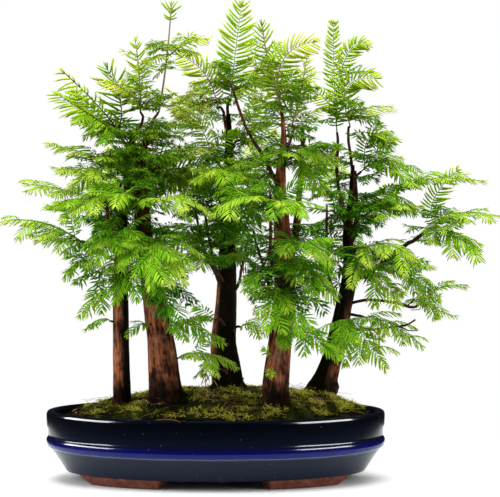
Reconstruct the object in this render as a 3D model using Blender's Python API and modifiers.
"""A dawn redwood bonsai forest: five trees in an oval glazed tray. Metres, +X right, +Y back, +Z up."""

import math
import random

import bmesh
import bpy
from mathutils import Matrix, Quaternion, Vector
from mathutils.bvhtree import BVHTree

# Tables below are in millimetres from the middle of the tray and the table top.
MM = 0.001
TOUCH = 0.3 * MM
SEED = 41

# The tray. Its outline is an oval, and each profile point is (inset from the lip, height).
LIP_LENGTH = 360 * MM
LIP_DEPTH = 265 * MM
ROUND_THE_OVAL = 36
FLOOR_HEIGHT = 16.5
OUTER_PROFILE = [
    (4.7, 72.6), (1.0, 71.4), (0, 68.5), (1.0, 46), (-0.5, 42.6), (-0.3, 38.2), (4.2, 33.0),
    (15.6, 12.2), (20.5, 9),
]
INNER_PROFILE = [(26, FLOOR_HEIGHT), (20.5, 20), (12.4, 36), (9.4, 70.4)]
# Below this distance from the middle, the oval is a plain squeezed circle.
TRUE_OVAL_FROM = 140 * MM
FOOT_ARC = (0.35, 0.86)
FOOT_INSETS = (20.8, 46.0)
FOOT_HEIGHT = 9.0
FOOT_SUNK = 2.5
FOOT_CUTS = 5
FOOT_END_SLANT = 0.03
FOOT_FLARE = 0.14
FOOT_FACE_SLANT = 3.0
DRAIN_SIDES = 12
DRAIN_RADIUS = 10 * MM
DRAIN_AT = 80 * MM

# Mesh squares over the drain holes.
SCREEN_SIDE = 32.0
SCREEN_THICKNESS = 1.2
SCREEN_HOLES = 3
SCREEN_BAR = 3.0
SCREEN_ROOM = 0.5

# Soil and moss. The mound is steeper towards its edge, and lower on the left.
MOUND_EDGE = 69.0
MOUND_RISE = 26.0
MOUND_LEFT_DROP = 20.0
SOIL_BELOW_MOSS = 6.0
SOIL_INSET = 11.4
SOIL_WALL_GAP = 0.45
SOIL_RINGS = (0.88, 0.6)
MOSS_LIFT = 0.7
MOSS_THICKNESS = 5.2
MOSS_RELIEF = 1.5
MOSS_EDGE = 1.6
MOSS_REACH = 0.93
MOSS_LEFT_GAP = 0.07
MOSS_RINGS_UNDER = (0.35, 0.6, 0.78, 0.9)
MOSS_RINGS_OVER = (0.88, 0.7, 0.48, 0.25)
TRUNK_CLEARANCE = 0.4

# Trunks, from the foot up: (x, y, z, radius).
TRUNKS = {
    "tree_1": [
        (-97, -48, 66, 8.9), (-97, -48, 86, 8.8), (-97, -48, 113, 8.3), (-97, -48, 139, 8.2),
        (-98, -48, 191, 7.7), (-99, -48, 230, 6.2), (-96, -48, 269, 4.7), (-92, -48, 305, 3.6),
        (-89, -48, 339, 2.9), (-90, -49, 356, 1.9),
    ],
    "tree_2": [
        (-45, -58, 69, 19.2), (-50, -58, 90, 17.4), (-52, -58, 109, 15.4), (-55, -58, 150, 13.4),
        (-59, -58, 171, 12.4), (-65, -58, 207, 10.9), (-73, -58, 253, 9.2), (-76, -58, 290, 7.6),
        (-78, -58, 315, 6.0), (-75, -58, 342, 4.2), (-68, -58, 370, 2.4),
    ],
    "tree_3": [
        (13, 20, 72, 18.0), (12, 20, 97, 16.4), (11, 20, 119, 14.5), (9, 20, 146, 13.2),
        (11, 20, 188, 10.7), (12, 20, 242, 9.0), (13, 20, 296, 7.0), (14, 20, 350, 4.8),
        (13, 20, 388, 2.4),
    ],
    "tree_4": [
        (60, -75, 68, 13.6), (62, -75, 91, 12.9), (63, -75, 110, 12.6), (67, -75, 141, 11.6),
        (70, -75, 166, 11.3), (73, -75, 212, 10.8), (70, -75, 243, 9.2), (68, -75, 279, 6.9),
        (68, -75, 325, 5.1), (71, -75, 356, 3.2), (70, -76, 378, 1.8),
    ],
    "tree_5": [
        (108, 40, 68, 19.0), (113, 40, 92, 16.0), (121, 40, 112, 11.6), (129, 40, 134, 10.8),
        (137, 40, 172, 9.2), (144, 40, 209, 8.1), (145, 40, 229, 7.4), (142, 40, 258, 5.2),
        (145, 40, 283, 4.3), (147, 40, 307, 3.3), (148, 40, 334, 2.0),
    ],
}
# Thick limbs and whips: (places, radius at the root, radius at the tip).
LIMBS = {
    "tree_1": [
        ([(-99, -48, 232), (-107, -50, 253), (-111, -52, 279), (-113, -52, 288)], 3.6, 1.8),
        ([(-110, -52, 275), (-100, -58, 305), (-92, -62, 318)], 1.6, 0.8),
    ],
    "tree_2": [
        ([(-77, -58, 326), (-85, -56, 351), (-89, -54, 365)], 3.4, 1.6),
    ],
    "tree_3": [
        ([(11, 20, 190), (1, 6, 216), (-8, -4, 258), (-13, -8, 296)], 2.2, 1.0),
        ([(11, 20, 196), (-13, 10, 244), (-20, 4, 275), (-27, -2, 330)], 2.4, 1.0),
        ([(13, 20, 190), (24, 12, 205), (29, 8, 230), (35, 6, 256)], 2.0, 1.0),
    ],
    "tree_4": [
        ([(72, -75, 215), (82, -70, 253), (86, -66, 284), (90, -62, 330), (91, -63, 372)], 5.4, 1.8),
        ([(72, -76, 220), (75, -85, 255), (73, -89, 289)], 4.8, 1.8),
        ([(71, -75, 200), (59, -84, 231), (57, -86, 269), (57, -86, 302)], 2.6, 1.2),
        ([(71, -75, 170), (58, -62, 202), (49, -56, 231), (40, -56, 262)], 2.2, 1.0),
        ([(68, -75, 303), (49, -56, 342), (33, -46, 370), (17, -40, 414)], 2.4, 1.1),
    ],
    "tree_5": [
        ([(145, 40, 206), (174, 28, 224), (195, 18, 242), (214, 11, 254)], 3.2, 1.9),
        ([(141, 40, 183), (166, 30, 188), (192, 12, 186), (205, 7, 182)], 1.8, 1.3),
        ([(134, 40, 157), (166, 26, 156), (181, 18, 159), (201, 10, 161), (213, 4, 168)], 1.7, 0.9),
        ([(136, 40, 178), (124, 44, 206), (120, 46, 247), (120, 46, 291)], 2.6, 1.2),
        ([(143, 40, 255), (138, 36, 283), (132, 42, 313), (130, 44, 346)], 3.2, 1.4),
        ([(145, 40, 244), (151, 47, 269), (152, 47, 302), (151, 45, 328)], 3.0, 1.3),
    ],
}
TRUNK_SIDES = 10
TRUNK_RINGS = 11
LIMB_RINGS = 5
THICK_LIMB = 3.0
TWIG_RADII = (1.9, 1.4)
TWIG_END = 8.0
# Bark ribs run up the trunk, twisting a little, and are deepest at the flared foot.
BARK_RIBS = 5
BARK_DEPTH = 0.07
BARK_TWIST = 1.6

# Leafy boughs: (name, where its twig leaves the wood, where the green begins, leaf length,
# [(middle, tip) of each shoot]).
BOUGHS = {
    "tree_1": [
        ("far_left", (-100, -48, 230), (-127, -62, 244), 14,
         [((-170, -78, 269), (-213, -88, 273)), ((-149, -85, 254), (-184, -100, 258))]),
        ("left_high", (-94, -48, 272), (-117, -58, 293), 14,
         [((-154, -72, 305), (-192, -80, 311)), ((-134, -95, 294), (-163, -115, 286))]),
        ("back_left", (-94, -48, 279), (-111, -15, 291), 14,
         [((-144, 0, 289), (-177, 5, 290)), ((-128, 25, 315), (-149, 58, 327)),
          ((-112, 20, 326), (-118, 50, 351))]),
        ("upper_left", (-91, -48, 316), (-106, -52, 330), 15,
         [((-137, -65, 344), (-168, -72, 351)), ((-131, -80, 325), (-160, -92, 327))]),
        ("crown", (-89, -48, 345), (-98, -50, 361), 25,
         [((-117, -54, 388), (-154, -60, 425)), ((-120, -70, 377), (-158, -84, 401)),
          ((-98, -44, 395), (-112, -40, 431))]),
        ("low_left", (-99, -48, 207), (-112, -58, 222), 13,
         [((-134, -74, 231), (-151, -85, 219)), ((-121, -80, 204), (-129, -92, 180))]),
        ("foot_left", (-98, -48, 163), (-108, -50, 169), 11,
         [((-119, -54, 171), (-132, -60, 162))]),
        ("front", (-97, -48, 253), (-98, -72, 262), 14,
         [((-103, -105, 256), (-115, -125, 232)), ((-89, -105, 252), (-91, -128, 226))]),
    ],
    "tree_2": [
        ("front_bright", (-69, -58, 241), (-64, -84, 254), 15,
         [((-49, -120, 246), (-29, -142, 213)), ((-60, -126, 244), (-62, -150, 209))]),
        ("front_low", (-65, -58, 210), (-68, -80, 225), 15,
         [((-51, -106, 203), (-43, -118, 169)), ((-86, -106, 221), (-98, -122, 194))]),
        ("low_right", (-55, -58, 156), (-42, -64, 168), 13,
         [((-25, -72, 166), (7, -80, 148))]),
        ("foot_right", (-50, -58, 126), (-32, -62, 132), 14,
         [((-8, -66, 134), (22, -70, 115))]),
        ("low_left", (-57, -58, 160), (-67, -68, 166), 10,
         [((-77, -74, 166), (-88, -82, 157))]),
        ("leader", (-85, -56, 351), (-77, -54, 386), 16,
         [((-78, -55, 421), (-82, -55, 458)), ((-89, -62, 406), (-114, -68, 418))]),
        ("whip", (-69, -58, 365), (-58, -56, 386), 15,
         [((-50, -58, 438), (-45, -58, 495)), ((-41, -46, 395), (-20, -40, 408))]),
        ("right", (-77, -58, 307), (-57, -45, 328), 15,
         [((-35, -35, 341), (-5, -25, 348)), ((-44, -18, 321), (-24, 5, 315))]),
        ("front_pair", (-74, -58, 272), (-74, -84, 288), 14,
         [((-46, -108, 297), (-16, -126, 288)), ((-102, -115, 300), (-137, -135, 282))]),
        ("back", (-76, -58, 295), (-78, -14, 308), 15,
         [((-61, 35, 337), (-50, 78, 350)), ((-85, 42, 333), (-97, 88, 341)),
          ((-104, 5, 283), (-130, 30, 270))]),
    ],
    "tree_3": [
        ("foot_left", (12, 20, 101), (5, -2, 115), 11,
         [((-6, -9, 120), (-20, -13, 110))]),
        ("left_low", (11, 20, 200), (-3, -8, 226), 16,
         [((-18, -38, 238), (-45, -58, 222)), ((-20, -24, 253), (-41, -34, 257))]),
        ("left_lower", (11, 20, 152), (-1, 0, 168), 14,
         [((-19, -8, 171), (-42, -14, 158))]),
        ("right_lower", (12, 20, 144), (26, 6, 160), 14,
         [((41, -4, 163), (62, -12, 151))]),
        ("leader", (13, 20, 382), (16, 20, 405), 24,
         [((20, 20, 448), (27, 20, 502)), ((36, 12, 424), (56, 4, 443))]),
        ("upper_left", (13, 20, 350), (2, 14, 395), 20,
         [((-10, 4, 428), (-35, -2, 448)), ((-21, 20, 399), (-50, 30, 413))]),
        ("left", (13, 20, 307), (-3, 0, 338), 15,
         [((-18, -18, 376), (-41, -28, 388)), ((-27, -20, 326), (-51, -42, 303))]),
        ("upper_right", (13, 20, 333), (26, 12, 360), 16,
         [((39, 4, 385), (56, -4, 405)), ((43, 24, 360), (60, 36, 368))]),
        ("front", (13, 20, 280), (15, -12, 299), 16,
         [((8, -56, 324), (-4, -92, 321)), ((36, -28, 291), (50, -46, 276))]),
        ("back", (13, 20, 264), (10, 60, 283), 16,
         [((-16, 106, 322), (-34, 148, 330)), ((10, 108, 257), (2, 150, 248)),
          ((36, 102, 337), (46, 142, 354))]),
    ],
    "tree_4": [
        ("leader", (71, -75, 365), (68, -78, 392), 20,
         [((56, -75, 434), (49, -75, 472)), ((70, -90, 437), (99, -98, 454))]),
        ("leader_right", (69, -75, 330), (80, -76, 372), 15,
         [((89, -70, 408), (95, -68, 442)), ((62, -62, 410), (38, -52, 440))]),
        ("front_arch", (68, -75, 276), (64, -104, 285), 15,
         [((35, -128, 297), (1, -146, 280)), ((76, -142, 292), (88, -172, 278))]),
        ("front_low", (71, -75, 192), (67, -98, 205), 14,
         [((61, -124, 194), (54, -140, 168)), ((80, -126, 189), (86, -140, 161)),
          ((49, -118, 220), (32, -134, 206))]),
        ("low_right", (70, -75, 156), (79, -90, 165), 14,
         [((95, -110, 159), (123, -122, 136))]),
        ("right_fan", (71, -75, 221), (80, -96, 233), 16,
         [((92, -128, 252), (114, -142, 232)), ((99, -112, 221), (120, -118, 197))]),
        ("right", (68, -75, 323), (80, -84, 337), 15,
         [((95, -96, 346), (121, -106, 332)), ((96, -74, 327), (114, -58, 311))]),
        ("left", (68, -75, 300), (55, -70, 321), 14,
         [((41, -66, 331), (19, -60, 336)), ((45, -94, 310), (26, -112, 304))]),
        ("sprig", (65, -76, 115), (57, -93, 118), 7,
         [((54, -101, 121), (53, -108, 122))]),
    ],
    "tree_5": [
        ("far_right_high", (144, 40, 261), (162, 34, 280), 17,
         [((213, 12, 315), (281, -5, 316)), ((188, 2, 290), (214, -20, 289))]),
        ("far_right", (202, 15, 247), (227, 8, 263), 15,
         [((258, -2, 281), (298, -12, 279)), ((251, -20, 257), (275, -30, 244)),
          ((233, 18, 295), (257, 10, 327))]),
        ("right_low", (177, 26, 226), (191, 16, 219), 14,
         [((211, 6, 215), (236, -2, 191)), ((201, -12, 228), (226, -30, 224))]),
        ("right_lower", (196, 10, 185), (216, 2, 183), 12,
         [((238, -11, 203), (262, -15, 203)), ((230, -6, 181), (252, -12, 173))]),
        ("upper_right", (147, 40, 302), (157, 40, 327), 16,
         [((186, 36, 339), (221, 32, 319)), ((166, 36, 365), (192, 30, 362))]),
        ("leader_right", (148, 40, 325), (145, 38, 376), 22,
         [((141, 34, 417), (170, 26, 427)), ((163, 48, 396), (187, 60, 399))]),
        ("leader", (131, 43, 335), (131, 46, 370), 18,
         [((128, 45, 433), (127, 45, 487)), ((139, 35, 448), (162, 28, 464)),
          ((115, 50, 410), (91, 56, 423))]),
        ("low_right", (135, 40, 161), (143, 14, 170), 15,
         [((158, -2, 149), (179, -12, 120)), ((134, -16, 162), (131, -32, 133))]),
        ("lower_right", (137, 40, 172), (159, 24, 170), 14,
         [((185, 12, 164), (218, 0, 141))]),
        ("front_right", (145, 40, 226), (155, 10, 242), 14,
         [((180, -18, 248), (208, -38, 234)), ((174, -14, 212), (195, -28, 197))]),
        ("back_left", (142, 40, 253), (133, 66, 280), 15,
         [((116, 74, 272), (98, 80, 264)), ((122, 110, 329), (109, 138, 341))]),
        ("back", (145, 40, 247), (152, 80, 257), 15,
         [((178, 118, 293), (200, 152, 307)), ((154, 126, 239), (160, 164, 225))]),
    ],
}
# Green stems and their leaves.
FORK_AT = (0.07, 0.12)
RIB_RADII = (1.35, 0.55)
SIDE_RIB_RADII = (1.1, 0.5)
LEAF_SPACING = 13.2
BARE_SHARE = 0.14
# The tall whip is a bare stem with leaves near its tip only.
WHIP = "tree_2_whip"
WHIP_BARE_SHARE = 0.72
SIDE_BARE_SHARE = 0.2
SIDE_SPRAY_AT = (0.3, 0.56)
SIDE_SPRAY_LENGTH = (30, 46)
SIDE_SPRAY_FROM = (50, 92)
LEAF_ANGLES = (72, 42)
LEAF_DROOP = 0.16
SIDE_LEAF_SHARE = 0.86
SPRAY_LEAN = 0.25
CLEAR_OF_RIB = 0.7
# A short inner shoot at the foot of each bough with one shoot fills the crown near the wood.
INNER_AT = 0.13
INNER_LENGTH = (28, 40)
INNER_TURNS = (90, 110, 70)
INNER_LIFTS = (0.1, 0.6, -0.3)
INNER_SAG = 0.1
INNER_LEAF = 12
INNER_STEPS = 2
# Ways to turn a side spray that would cross another piece: degrees out, and lift.
SIDE_TURNS = (52, 40, 64, 30, 76)
SIDE_LIFTS = (0, 0.25, -0.25)

COLOURS = {
    "glaze": ("10182B", 0.15),
    "plastic_mesh": ("22262A", 0.6),
    "soil": ("2C2118", 0.95),
    "moss": ("59641E", 0.9),
    "bark": ("4B2E21", 0.8),
    "leaf": ("68A81C", 0.5),
}


def linear(hex_colour):
    """The linear colour of an sRGB hex value."""
    values = [int(hex_colour[i:i + 2], 16) / 255 for i in (0, 2, 4)]
    return [v / 12.92 if v <= 0.04045 else ((v + 0.055) / 1.055) ** 2.4 for v in values] + [1]


def material(name):
    """The Principled material of that name, made on first use."""
    if name in bpy.data.materials:
        return bpy.data.materials[name]
    colour, roughness = COLOURS[name]
    made = bpy.data.materials.new(name)
    made.use_nodes = True
    shader = made.node_tree.nodes["Principled BSDF"]
    shader.inputs["Base Color"].default_value = linear(colour)
    shader.inputs["Roughness"].default_value = roughness
    made.diffuse_color = linear(colour)
    return made


def clear_scene():
    """Removes everything that the startup scene holds."""
    for obj in list(bpy.data.objects):
        bpy.data.objects.remove(obj, do_unlink=True)


def new_collection(name):
    """A new collection in the scene."""
    made = bpy.data.collections.new(name)
    bpy.context.scene.collection.children.link(made)
    return made


def face_outwards(bm):
    """Turns the faces of a closed shape outwards."""
    bmesh.ops.recalc_face_normals(bm, faces=bm.faces)
    if bm.calc_volume(signed=True) < 0:
        bmesh.ops.reverse_faces(bm, faces=bm.faces)


def mesh_object(name, bm, collection, finish):
    """An object with that shape and material."""
    mesh = bpy.data.meshes.new(name)
    bm.to_mesh(mesh)
    bm.free()
    obj = bpy.data.objects.new(name, mesh)
    obj.data.materials.append(material(finish))
    collection.objects.link(obj)
    return obj


def apply_modifiers(obj):
    """Gives the object the mesh that its modifiers make."""
    graph = bpy.context.evaluated_depsgraph_get()
    mesh = bpy.data.meshes.new_from_object(obj.evaluated_get(graph))
    obj.modifiers.clear()
    obj.data = mesh


def combine(obj, others, operation, solver="EXACT"):
    """Joins the other objects to this one, or cuts them from it, and removes them."""
    helpers = new_collection(obj.name + "_helpers")
    for other in others:
        for home in list(other.users_collection):
            home.objects.unlink(other)
        helpers.objects.link(other)
    boolean = obj.modifiers.new("combine", "BOOLEAN")
    boolean.operand_type = "COLLECTION"
    boolean.collection = helpers
    boolean.operation = operation
    boolean.solver = solver
    apply_modifiers(obj)
    for other in others:
        bpy.data.objects.remove(other, do_unlink=True)
    bpy.data.collections.remove(helpers)


def keep_one_body(obj):
    """Drops loose scraps, and the inner walls of any hollow that joining has sealed."""
    bm = bmesh.new()
    bm.from_mesh(obj.data)
    left = set(bm.faces)
    bodies = []
    while left:
        body = {left.pop()}
        edge_of_search = list(body)
        while edge_of_search:
            face = edge_of_search.pop()
            for edge in face.edges:
                for other in edge.link_faces:
                    if other in left:
                        left.remove(other)
                        body.add(other)
                        edge_of_search.append(other)
        bodies.append(body)
    largest = max(bodies, key=len)
    spare = [face for body in bodies if body is not largest for face in body]
    bmesh.ops.delete(bm, geom=spare, context="FACES")
    bm.to_mesh(obj.data)
    bm.free()


def reshape(obj, place):
    """Moves each vertex of the object to place(x, y, z)."""
    for vertex in obj.data.vertices:
        vertex.co = place(*vertex.co)


def turned(name, profile, collection, finish):
    """A solid turned from (radius, height) points that run from the axis round to the axis."""
    bm = bmesh.new()
    points = [bm.verts.new((radius, 0, height)) for radius, height in profile]
    for first, second in zip(points, points[1:]):
        bm.edges.new((first, second))
    mesh = bpy.data.meshes.new(name)
    bm.to_mesh(mesh)
    bm.free()
    obj = bpy.data.objects.new(name, mesh)
    collection.objects.link(obj)
    screw = obj.modifiers.new("turn", "SCREW")
    screw.steps = ROUND_THE_OVAL
    screw.render_steps = ROUND_THE_OVAL
    screw.use_merge_vertices = True
    screw.merge_threshold = 0.00001
    apply_modifiers(obj)
    bm = bmesh.new()
    bm.from_mesh(obj.data)
    face_outwards(bm)
    bm.to_mesh(obj.data)
    bm.free()
    obj.data.materials.append(material(finish))
    return obj


def to_oval(x, y, z):
    """Carries a point of a round solid to the oval, so that its inset from the lip stays."""
    radius = math.hypot(x, y)
    half_x, half_y = LIP_LENGTH / 2, LIP_DEPTH / 2
    depth = half_y - (half_x - max(radius, TRUE_OVAL_FROM))
    return x, y / max(radius, TRUE_OVAL_FROM) * depth, z


def box(name, size, middle, collection, finish):
    """A box of that size in metres about its middle."""
    bm = bmesh.new()
    bmesh.ops.create_cube(bm, size=1)
    place = Matrix.Translation(middle) @ Matrix.Diagonal((*size, 1))
    bmesh.ops.transform(bm, matrix=place, verts=bm.verts)
    return mesh_object(name, bm, collection, finish)


def disc(name, radius, height, x, collection, finish):
    """An upright cylinder that stands on the table about (x, 0)."""
    bm = bmesh.new()
    bmesh.ops.create_cone(
        bm, cap_ends=True, segments=DRAIN_SIDES, radius1=radius, radius2=radius, depth=height
    )
    bmesh.ops.translate(bm, vec=(x, 0, height / 2), verts=bm.verts)
    return mesh_object(name, bm, collection, finish)


def foot(name, turn, side, collection):
    """One clay foot: a block bent along the oval, flared at its outer end where it meets the wall."""
    bm = bmesh.new()
    bmesh.ops.create_cube(bm, size=1)
    along = [e for e in bm.edges if abs(e.verts[0].co.x - e.verts[1].co.x) > 0.5]
    bmesh.ops.subdivide_edges(bm, edges=along, cuts=FOOT_CUTS)
    start, end = FOOT_ARC
    for vertex in bm.verts:
        u, v, w = vertex.co.x + 0.5, vertex.co.y + 0.5, vertex.co.z + 0.5
        first = start + FOOT_END_SLANT * (1 - w)
        last = end + FOOT_FLARE * w * (1 - v)
        angle = first + (last - first) * u
        inset = (FOOT_INSETS[0] + FOOT_FACE_SLANT * (1 - w)) * (1 - v) + FOOT_INSETS[1] * v
        radius = LIP_LENGTH / 2 - inset * MM
        # The arc is measured from the tray's long side, so that feet stand near its corners.
        height = (FOOT_HEIGHT + FOOT_SUNK) * w * MM
        x = radius * math.sin(angle)
        y = radius * math.cos(angle)
        vertex.co = Vector(to_oval(turn * x, side * y, height))
    face_outwards(bm)
    return mesh_object(name, bm, collection, "glaze")


def make_tray(collection):
    """The tray: a turned wall and floor, four feet and two drain holes."""
    half = LIP_LENGTH / 2
    inner = [(half - inset * MM, height * MM) for inset, height in INNER_PROFILE]
    outer = [(half - inset * MM, height * MM) for inset, height in OUTER_PROFILE]
    profile = [(0, FLOOR_HEIGHT * MM)] + inner + outer + [(0, FOOT_HEIGHT * MM)]
    tray = turned("tray", profile, collection, "glaze")
    reshape(tray, to_oval)
    feet = [foot(f"foot_{turn}_{side}", turn, side, collection) for turn in (-1, 1) for side in (-1, 1)]
    combine(tray, feet, "UNION", "MANIFOLD")
    drains = [
        disc(f"drain_{x}", DRAIN_RADIUS, (FLOOR_HEIGHT + 2) * MM, x, collection, "glaze")
        for x in (-DRAIN_AT, DRAIN_AT)
    ]
    combine(tray, drains, "DIFFERENCE", "MANIFOLD")


def make_screen(name, x, collection):
    """A square of coarse mesh that keeps the soil off a drain hole."""
    low = FLOOR_HEIGHT * MM + TOUCH
    middle = low + SCREEN_THICKNESS * MM / 2
    side = SCREEN_SIDE * MM
    screen = box(name, (side, side, SCREEN_THICKNESS * MM), (x, 0, middle), collection, "plastic_mesh")
    pitch = (SCREEN_SIDE - SCREEN_BAR) / SCREEN_HOLES
    hole = (pitch - SCREEN_BAR) * MM
    first = -(SCREEN_HOLES - 1) / 2
    cutters = []
    for i in range(SCREEN_HOLES):
        for j in range(SCREEN_HOLES):
            place = (x + (first + i) * pitch * MM, (first + j) * pitch * MM, middle)
            size = (hole, hole, SCREEN_THICKNESS * 2 * MM)
            cutters.append(box(f"{name}_hole_{i}_{j}", size, place, collection, "plastic_mesh"))
    combine(screen, cutters, "DIFFERENCE")


def mound(x, y):
    """The height of the mossy ground at that place, in metres."""
    half_x = LIP_LENGTH / 2 - SOIL_INSET * MM
    half_y = LIP_DEPTH / 2 - SOIL_INSET * MM
    out = min(1.0, math.hypot(x / half_x, y / half_y))
    left = max(0.0, -x / half_x)
    rise = MOUND_RISE - MOUND_LEFT_DROP * left ** 2
    return (MOUND_EDGE + rise * (1 - out ** 4)) * MM


def make_soil(collection):
    """The soil: the tray's inner shape, a mound on top, and room for the mesh squares."""
    half = LIP_LENGTH / 2
    inner = [
        (half - (inset + SOIL_WALL_GAP) * MM, height * MM) for inset, height in INNER_PROFILE[:3]
    ]
    floor = FLOOR_HEIGHT * MM + TOUCH
    inner[0] = (inner[0][0], floor)
    top = [(half - SOIL_INSET * MM, (MOUND_EDGE - SOIL_BELOW_MOSS) * MM)]
    top += [(share * (half - SOIL_INSET * MM), 1.0) for share in SOIL_RINGS]
    profile = [(0, 1.0)] + top[::-1] + inner[::-1] + [(0, floor)]
    soil = turned("soil", profile, collection, "soil")

    def place(x, y, z):
        x, y, _ = to_oval(x, y, z)
        return x, y, mound(x, y) - SOIL_BELOW_MOSS * MM if z > 0.5 else z

    reshape(soil, place)
    side = (SCREEN_SIDE + 2 * SCREEN_ROOM) * MM
    height = (SCREEN_THICKNESS + 2 * SCREEN_ROOM) * MM
    middle = floor + SCREEN_THICKNESS * MM + TOUCH - height / 2
    recesses = [
        box(f"recess_{x}", (side, side, height), (x, 0, middle), collection, "soil")
        for x in (-DRAIN_AT, DRAIN_AT)
    ]
    combine(soil, recesses, "DIFFERENCE")
    return soil


def moss_reach(angle):
    """How far the moss goes at that angle, as a share of the soil's oval: less far on the left."""
    wave = 0.016 * math.sin(5 * angle + 1.0) + 0.012 * math.sin(9 * angle + 2.4)
    return MOSS_REACH + wave - MOSS_LEFT_GAP * max(0.0, -math.cos(angle)) ** 3


def moss_bumps(x, y):
    """The rise and fall of the moss cushions there, from -1 to 1."""
    x, y = x / MM, y / MM
    slow = math.sin(x / 13.0 + 1.3 * math.sin(y / 17.0)) * math.cos(y / 11.0 + 0.8)
    quick = math.sin(x / 6.1 + y / 9.7 + 2.0) * math.sin(y / 6.9 - x / 14.0)
    return 0.65 * slow + 0.35 * quick


def make_moss(collection):
    """The moss: a thin mat that follows the mound, with cushions, and a thin ragged edge."""
    under = [(share, 0) for share in (0, *MOSS_RINGS_UNDER, 1.0)]
    over = [(share, 1) for share in (1.0, *MOSS_RINGS_OVER, 0)]
    profile = under + over
    moss = turned("moss", profile, collection, "moss")
    half_x = LIP_LENGTH / 2 - SOIL_INSET * MM
    half_y = LIP_DEPTH / 2 - SOIL_INSET * MM

    def place(x, y, z):
        share = math.hypot(x, y)
        reach = moss_reach(math.atan2(y, x))
        at_x, at_y = x * reach * half_x, y * reach * half_y
        low = mound(at_x, at_y) - (SOIL_BELOW_MOSS - MOSS_LIFT) * MM
        if z < 0.5:
            return at_x, at_y, low
        if share > 0.99:
            return at_x, at_y, low + MOSS_EDGE * MM
        return at_x, at_y, low + (MOSS_THICKNESS + MOSS_RELIEF * moss_bumps(at_x, at_y)) * MM

    reshape(moss, place)
    return moss


def through(points, t):
    """The point at t, from 0 to 1, on a smooth curve through all the points."""
    spans = len(points) - 1
    i = min(int(t * spans), spans - 1)
    u = t * spans - i
    before, after = points[max(i - 1, 0)], points[min(i + 2, spans)]
    a, b = points[i], points[i + 1]
    values = []
    for p0, p1, p2, p3 in zip(before, a, b, after):
        bend = (2 * p0 - 5 * p1 + 4 * p2 - p3) * u * u + (3 * p1 - p0 - 3 * p2 + p3) * u ** 3
        values.append(0.5 * (2 * p1 + (p2 - p0) * u + bend))
    return values


def tube(name, stations, resolution, collection, finish):
    """A capped tube through (x, y, z, radius) stations in millimetres."""
    curve = bpy.data.curves.new(name, "CURVE")
    curve.dimensions = "3D"
    curve.bevel_depth = MM
    curve.bevel_resolution = resolution
    curve.use_fill_caps = True
    spline = curve.splines.new("POLY")
    spline.points.add(len(stations) - 1)
    for point, (x, y, z, radius) in zip(spline.points, stations):
        point.co = (x * MM, y * MM, z * MM, 1)
        point.radius = radius
    guide = bpy.data.objects.new(name + "_guide", curve)
    collection.objects.link(guide)
    mesh = bpy.data.meshes.new_from_object(
        guide.evaluated_get(bpy.context.evaluated_depsgraph_get())
    )
    bpy.data.objects.remove(guide, do_unlink=True)
    bpy.data.curves.remove(curve)
    bm = bmesh.new()
    bm.from_mesh(mesh)
    bpy.data.meshes.remove(mesh)
    bmesh.ops.remove_doubles(bm, verts=bm.verts, dist=0.000001)
    face_outwards(bm)
    return mesh_object(name, bm, collection, finish)


def prism(sides, steps):
    """An upright prism of radius 1 and height 1 on the origin, sliced into that many steps."""
    bm = bmesh.new()
    bmesh.ops.create_cone(bm, cap_ends=True, segments=sides, radius1=1, radius2=1, depth=1)
    bmesh.ops.translate(bm, vec=(0, 0, 0.5), verts=bm.verts)
    upright = [e for e in bm.edges if abs(e.verts[0].co.z - e.verts[1].co.z) > 0.5]
    bmesh.ops.subdivide_edges(bm, edges=upright, cuts=steps - 1)
    return bm


def make_trunk(tree, name, collection, grow=0.0, rings=TRUNK_RINGS):
    """A fluted trunk: a prism drawn out to the tree's stations. A grown one is wider by that much."""
    points = TRUNKS[tree]
    bm = prism(TRUNK_SIDES, rings - 1)
    for vertex in bm.verts:
        up = vertex.co.z
        x, y, z, radius = through(points, up)
        turn = math.atan2(vertex.co.y, vertex.co.x)
        twisted = turn + up * BARK_TWIST
        depth = BARK_DEPTH * (1.5 - up)
        rib = math.cos(BARK_RIBS * twisted) + 0.5 * math.sin(3 * twisted + 9 * up)
        wide = radius * (1 + depth * rib) + grow
        vertex.co = Vector((x + wide * math.cos(turn), y + wide * math.sin(turn), z)) * MM
    bmesh.ops.triangulate(bm, faces=bm.faces, quad_method="FIXED")
    return mesh_object(name, bm, collection, "bark")


def trunk_hole(tree, collection):
    """The shape of the hole that the tree's foot stands in, a little wider and deeper."""
    hole = make_trunk(tree, tree + "_hole", collection, TRUNK_CLEARANCE)
    hole.data.transform(Matrix.Translation((0, 0, -TOUCH)))
    return hole


def aim(bough):
    """Where the bough's shoots go on the whole, as a direction."""
    _, _, base, _, shoots = bough
    total = Vector()
    for middle, _ in shoots:
        total += (Vector(middle) - Vector(base)).normalized()
    return total.normalized()


def twig_stations(bough):
    """The bare twig from the wood to where the green begins. Its end points the way that goes on."""
    _, root, base, _, _ = bough
    before = Vector(base) - aim(bough) * TWIG_END
    return [(*root, TWIG_RADII[0]), (*before, TWIG_RADII[1]), (*base, TWIG_RADII[1])]


def make_tree(tree, collection):
    """Trunk, limbs and twigs of one tree, grown together."""
    trunk = make_trunk(tree, tree, collection)
    wood = []
    for i, (places, root_radius, tip_radius) in enumerate(LIMBS[tree]):
        stations = []
        for j in range(LIMB_RINGS):
            t = j / (LIMB_RINGS - 1)
            stations.append((*through(places, t), root_radius + (tip_radius - root_radius) * t))
        sides = 1 if root_radius > THICK_LIMB else 0
        wood.append(tube(f"{tree}_limb_{i}", stations, sides, collection, "bark"))
    for bough in BOUGHS[tree]:
        wood.append(tube(f"{tree}_twig_{bough[0]}", twig_stations(bough), 0, collection, "bark"))
    combine(trunk, wood, "UNION", "MANIFOLD")
    keep_one_body(trunk)
    return trunk


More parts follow.
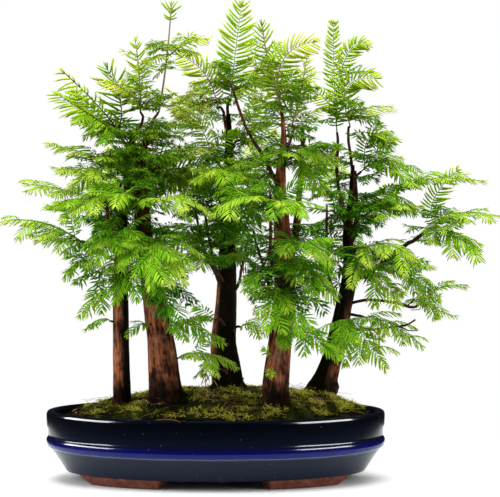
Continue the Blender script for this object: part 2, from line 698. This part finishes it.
class Placed:
    """What stands already: trees for finding whether a new face would cross it."""

    def __init__(self):
        self.trees = []

    def add(self, points, faces):
        middle = sum(points, Vector()) / len(points)
        reach = max((p - middle).length for p in points)
        self.trees.append((BVHTree.FromPolygons(points, faces), middle, reach))

    def add_object(self, obj):
        points = [v.co.copy() for v in obj.data.vertices]
        self.add(points, [tuple(face.vertices) for face in obj.data.polygons])

    def crossed_by(self, points, faces):
        middle = sum(points, Vector()) / len(points)
        reach = max((p - middle).length for p in points)
        tree = BVHTree.FromPolygons(points, faces)
        for other, other_middle, other_reach in self.trees:
            if (middle - other_middle).length < reach + other_reach and tree.overlap(other):
                return True
        return False


class Stem:
    """An arched three-sided stem, and the two flat rows of leaves on it. In metres."""

    def __init__(self, start, middle, tip, radii, roll, leaf, bare, longest=None, heading=None):
        self.start, self.middle, self.tip = start, middle, tip
        self.radii, self.leaf, self.bare, self.heading = radii, leaf, bare, heading
        length = (middle - start).length + (tip - middle).length
        self.steps = max(3, round(length / (LEAF_SPACING * MM)))
        if longest:
            self.steps = min(self.steps, longest)
        way = (tip - start).normalized()
        upright = way.z ** 2
        # A level spray faces up and a little to the front, and an upright one faces the front.
        facing = Vector((0, -SPRAY_LEAN - upright, 1 - upright))
        self.facing = Quaternion(way, roll) @ facing

    def at(self, t):
        bend = self.middle * 2 - (self.start + self.tip) / 2
        return self.start * (1 - t) ** 2 + bend * 2 * t * (1 - t) + self.tip * t * t

    def frame(self, t):
        """Along, side and top directions at t."""
        along = (self.at(min(t + 0.02, 1)) - self.at(max(t - 0.02, 0))).normalized()
        if t == 0 and self.heading:
            along = self.heading
        side = along.cross(self.facing).normalized()
        return along, side, side.cross(along)

    def corner(self, step, which, grow=0.0):
        """A corner of the stem at that step: 0 on the right, 1 below, 2 on the left."""
        t = step / self.steps
        _, side, top = self.frame(t)
        radius = (self.radii[0] + (self.radii[1] - self.radii[0]) * t + grow) * MM
        across, up = ((0.87, 0.5), (0, -1), (-0.87, 0.5))[which]
        return self.at(t) + side * across * radius + top * up * radius

    def leaf_tip(self, step, hand):
        """The tip of the leaf that grows between that step and the next, to the right (1) or left (-1)."""
        t = (step + 0.5) / self.steps
        share = (t - self.bare) / (1 - self.bare)
        along, side, top = self.frame(t)
        angle = math.radians(LEAF_ANGLES[0] + (LEAF_ANGLES[1] - LEAF_ANGLES[0]) * share)
        length = self.leaf * math.sin(math.pi * (0.2 + 0.62 * share)) * MM
        way = along * math.cos(angle) + side * hand * math.sin(angle) - top * LEAF_DROOP
        return self.at(t) + way * length

    def bare_shape(self, grow):
        points = [self.corner(i, j, grow) for i in range(self.steps + 1) for j in range(3)]
        faces = []
        for i in range(self.steps):
            for j in range(3):
                a, b = 3 * i + j, 3 * i + (j + 1) % 3
                faces.append((a, b, b + 3, a + 3))
        return points, faces

    def leaf_shape(self, step, hand):
        """The four base corners and the tip of a leaf, a little larger than it is."""
        edge = 0 if hand > 0 else 2
        tip = self.leaf_tip(step, hand)
        base = [self.corner(step + i, which) for i, which in ((0, edge), (0, 1), (1, 1), (1, edge))]
        root = sum(base, Vector()) / 4
        # The test shape starts a little way out, so that it doesn't meet its own stem.
        near = [p + (tip - root) * 0.12 for p in base]
        points = near + [root + (tip - root) * 1.04]
        return points, [(0, 1, 4), (1, 2, 4), (2, 3, 4), (3, 0, 4)]

    def leaves(self):
        first = math.ceil(self.bare * self.steps)
        return [(step, hand) for step in range(first, self.steps) for hand in (1, -1)]


def leafy_stem(name, stem, leaves, collection):
    """The solid of a stem with those leaves: a sliced prism, with side faces drawn out to points."""
    bm = prism(3, stem.steps)
    turns = sorted({round(math.atan2(v.co.y, v.co.x), 3) for v in bm.verts})
    tips = {}
    for face in list(bm.faces):
        middle = face.calc_center_median()
        if len(face.verts) != 4:
            continue
        which = {turns.index(round(math.atan2(v.co.y, v.co.x), 3)) for v in face.verts}
        hand = {(0, 1): 1, (1, 2): -1}.get(tuple(sorted(which)))
        step = int(middle.z * stem.steps)
        if hand and (step, hand) in leaves:
            tips[face] = stem.leaf_tip(step, hand)
    for vertex in bm.verts:
        which = turns.index(round(math.atan2(vertex.co.y, vertex.co.x), 3))
        vertex.co = stem.corner(round(vertex.co.z * stem.steps), which)
    for face, tip in tips.items():
        grown = bmesh.ops.poke(bm, faces=[face])
        grown["verts"][0].co = tip
    return mesh_object(name, bm, collection, "leaf")


def side_stems(stem, leaf, draw):
    """The side sprays of a shoot, with other turns to try for each."""
    length = (stem.tip - stem.start).length / MM
    found = []
    places = SIDE_SPRAY_AT[:sum(length > least for least in SIDE_SPRAY_FROM)]
    hand = draw.choice((1, -1))
    for share in places:
        hand = -hand
        reach = min(SIDE_SPRAY_LENGTH[1], max(SIDE_SPRAY_LENGTH[0], length * 0.5))
        reach *= draw.uniform(0.85, 1.1) * (1.15 - 0.4 * share) * MM
        sag = draw.uniform(0.02, 0.14)
        roll = draw.uniform(-0.3, 0.3)
        along, side, top = stem.frame(share)
        start = stem.at(share)
        choices = []
        for turn in SIDE_TURNS:
            for lift in SIDE_LIFTS:
                angle = math.radians(turn)
                way = (along * math.cos(angle) + side * hand * math.sin(angle) + top * lift).normalized()
                later = (way + along * 0.25).normalized()
                middle = start + way * reach * 0.5
                tip = middle + later * reach * 0.5 - Vector((0, 0, sag * reach))
                choices.append(Stem(start, middle, tip, SIDE_RIB_RADII, roll, leaf, SIDE_BARE_SHARE, 3))
        found.append(choices)
    return found


def inner_choices(stem, draw):
    """A short shoot out of the foot of a bough's first stem, with other ways that it could go."""
    along, side, top = stem.frame(INNER_AT)
    start = stem.at(INNER_AT)
    first_hand = draw.choice((1, -1))
    reach = draw.uniform(*INNER_LENGTH) * MM
    roll = draw.uniform(-0.3, 0.3)
    found = []
    for hand in (first_hand, -first_hand):
        for turn in INNER_TURNS:
            for lift in INNER_LIFTS:
                angle = math.radians(turn)
                way = (along * math.cos(angle) + side * hand * math.sin(angle) + top * lift).normalized()
                middle = start + way * reach * 0.5
                tip = middle + way * reach * 0.5 - Vector((0, 0, INNER_SAG * reach))
                found.append(
                    Stem(start, middle, tip, SIDE_RIB_RADII, roll, INNER_LEAF, SIDE_BARE_SHARE, INNER_STEPS)
                )
    return found


def shoot_stem(start, shoot, heading, leaf, bare, draw):
    """The stem of a shoot from that start through its middle to its tip."""
    middle, tip = (Vector(point) * MM for point in shoot)
    roll = draw.uniform(-0.25, 0.25)
    return Stem(start, middle, tip, RIB_RADII, roll, leaf, bare, heading=heading)


def main_stems(name, bough, draw):
    """A bough's first shoot, and the shoots that fork from it near its foot."""
    _, _, base, leaf, shoots = bough
    way = aim(bough)
    base = Vector(base) * MM
    # The bough's first section faces the end of its twig, and lies just off it.
    bare = WHIP_BARE_SHARE if name == WHIP else BARE_SHARE
    first = shoot_stem(base + way * TOUCH, shoots[0], way, leaf, bare, draw)
    stems = [first]
    for fork, shoot in zip(FORK_AT, shoots[1:]):
        stems.append(shoot_stem(first.at(fork), shoot, None, leaf, BARE_SHARE, draw))
    return stems


def stems_to_come():
    """The main stems of every bough, by the bough's name, so that earlier boughs keep clear."""
    found = {}
    for tree in BOUGHS:
        for bough in BOUGHS[tree]:
            name = f"{tree}_{bough[0]}"
            shapes = Placed()
            for stem in main_stems(name, bough, random.Random(f"{SEED} {name}")):
                shapes.add(*stem.bare_shape(0))
            found[name] = shapes.trees
    return found


def make_bough(name, bough, standing, to_come, collection):
    """One leafy bough: its main stems, side sprays, inner shoot and leaves."""
    leaf, shoots = bough[3:]
    draw = random.Random(f"{SEED} {name}")
    placed = Placed()
    placed.trees = standing.trees + [t for other in to_come if other != name for t in to_come[other]]
    stems = main_stems(name, bough, draw)
    for stem in list(stems):
        for choices in side_stems(stem, leaf * SIDE_LEAF_SHARE, draw):
            clear = [s for s in choices if not placed.crossed_by(*s.bare_shape(CLEAR_OF_RIB))]
            stems.extend(clear[:1])
    if len(shoots) == 1 and name != WHIP:
        choices = inner_choices(stems[0], draw)
        clear = [s for s in choices if not placed.crossed_by(*s.bare_shape(CLEAR_OF_RIB))]
        stems.extend(clear[:1])
    own = Placed()
    for stem in stems:
        own.add(*stem.bare_shape(0))
    parts, grown = [], []
    for i, stem in enumerate(stems):
        others = Placed()
        others.trees = [t for j, t in enumerate(own.trees) if j != i] + grown
        kept = set()
        for step, hand in stem.leaves():
            shape = stem.leaf_shape(step, hand)
            if not placed.crossed_by(*shape) and not others.crossed_by(*shape):
                kept.add((step, hand))
        part = leafy_stem(f"{name}_{i}" if i else name, stem, kept, collection)
        parts.append(part)
        shapes = Placed()
        shapes.add_object(part)
        grown += shapes.trees
    if parts[1:]:
        combine(parts[0], parts[1:], "UNION", "MANIFOLD")
        keep_one_body(parts[0])
    standing.trees += grown


def centre_on_origin():
    """Moves everything so that the middle of its outer box stands over the origin."""
    bpy.context.view_layer.update()
    corners = [v.co for obj in bpy.data.objects for v in obj.data.vertices]
    shift = Vector((
        -(min(c.x for c in corners) + max(c.x for c in corners)) / 2,
        -(min(c.y for c in corners) + max(c.y for c in corners)) / 2,
        -min(c.z for c in corners),
    ))
    for obj in bpy.data.objects:
        obj.data.transform(Matrix.Translation(shift))


def main():
    clear_scene()
    forest = new_collection("dawn_redwood_bonsai_forest")
    make_tray(forest)
    make_screen("drain_screen_left", -DRAIN_AT, forest)
    make_screen("drain_screen_right", DRAIN_AT, forest)
    soil = make_soil(forest)
    moss = make_moss(forest)
    for ground in (soil, moss):
        combine(ground, [trunk_hole(tree, forest) for tree in TRUNKS], "DIFFERENCE")
    standing = Placed()
    for tree in TRUNKS:
        standing.add_object(make_tree(tree, forest))
    standing.add_object(moss)
    to_come = stems_to_come()
    for tree, boughs in BOUGHS.items():
        for bough in boughs:
            make_bough(f"{tree}_{bough[0]}", bough, standing, to_come, forest)
    centre_on_origin()
    for obj in forest.objects:
        obj.data.shade_flat()


main()
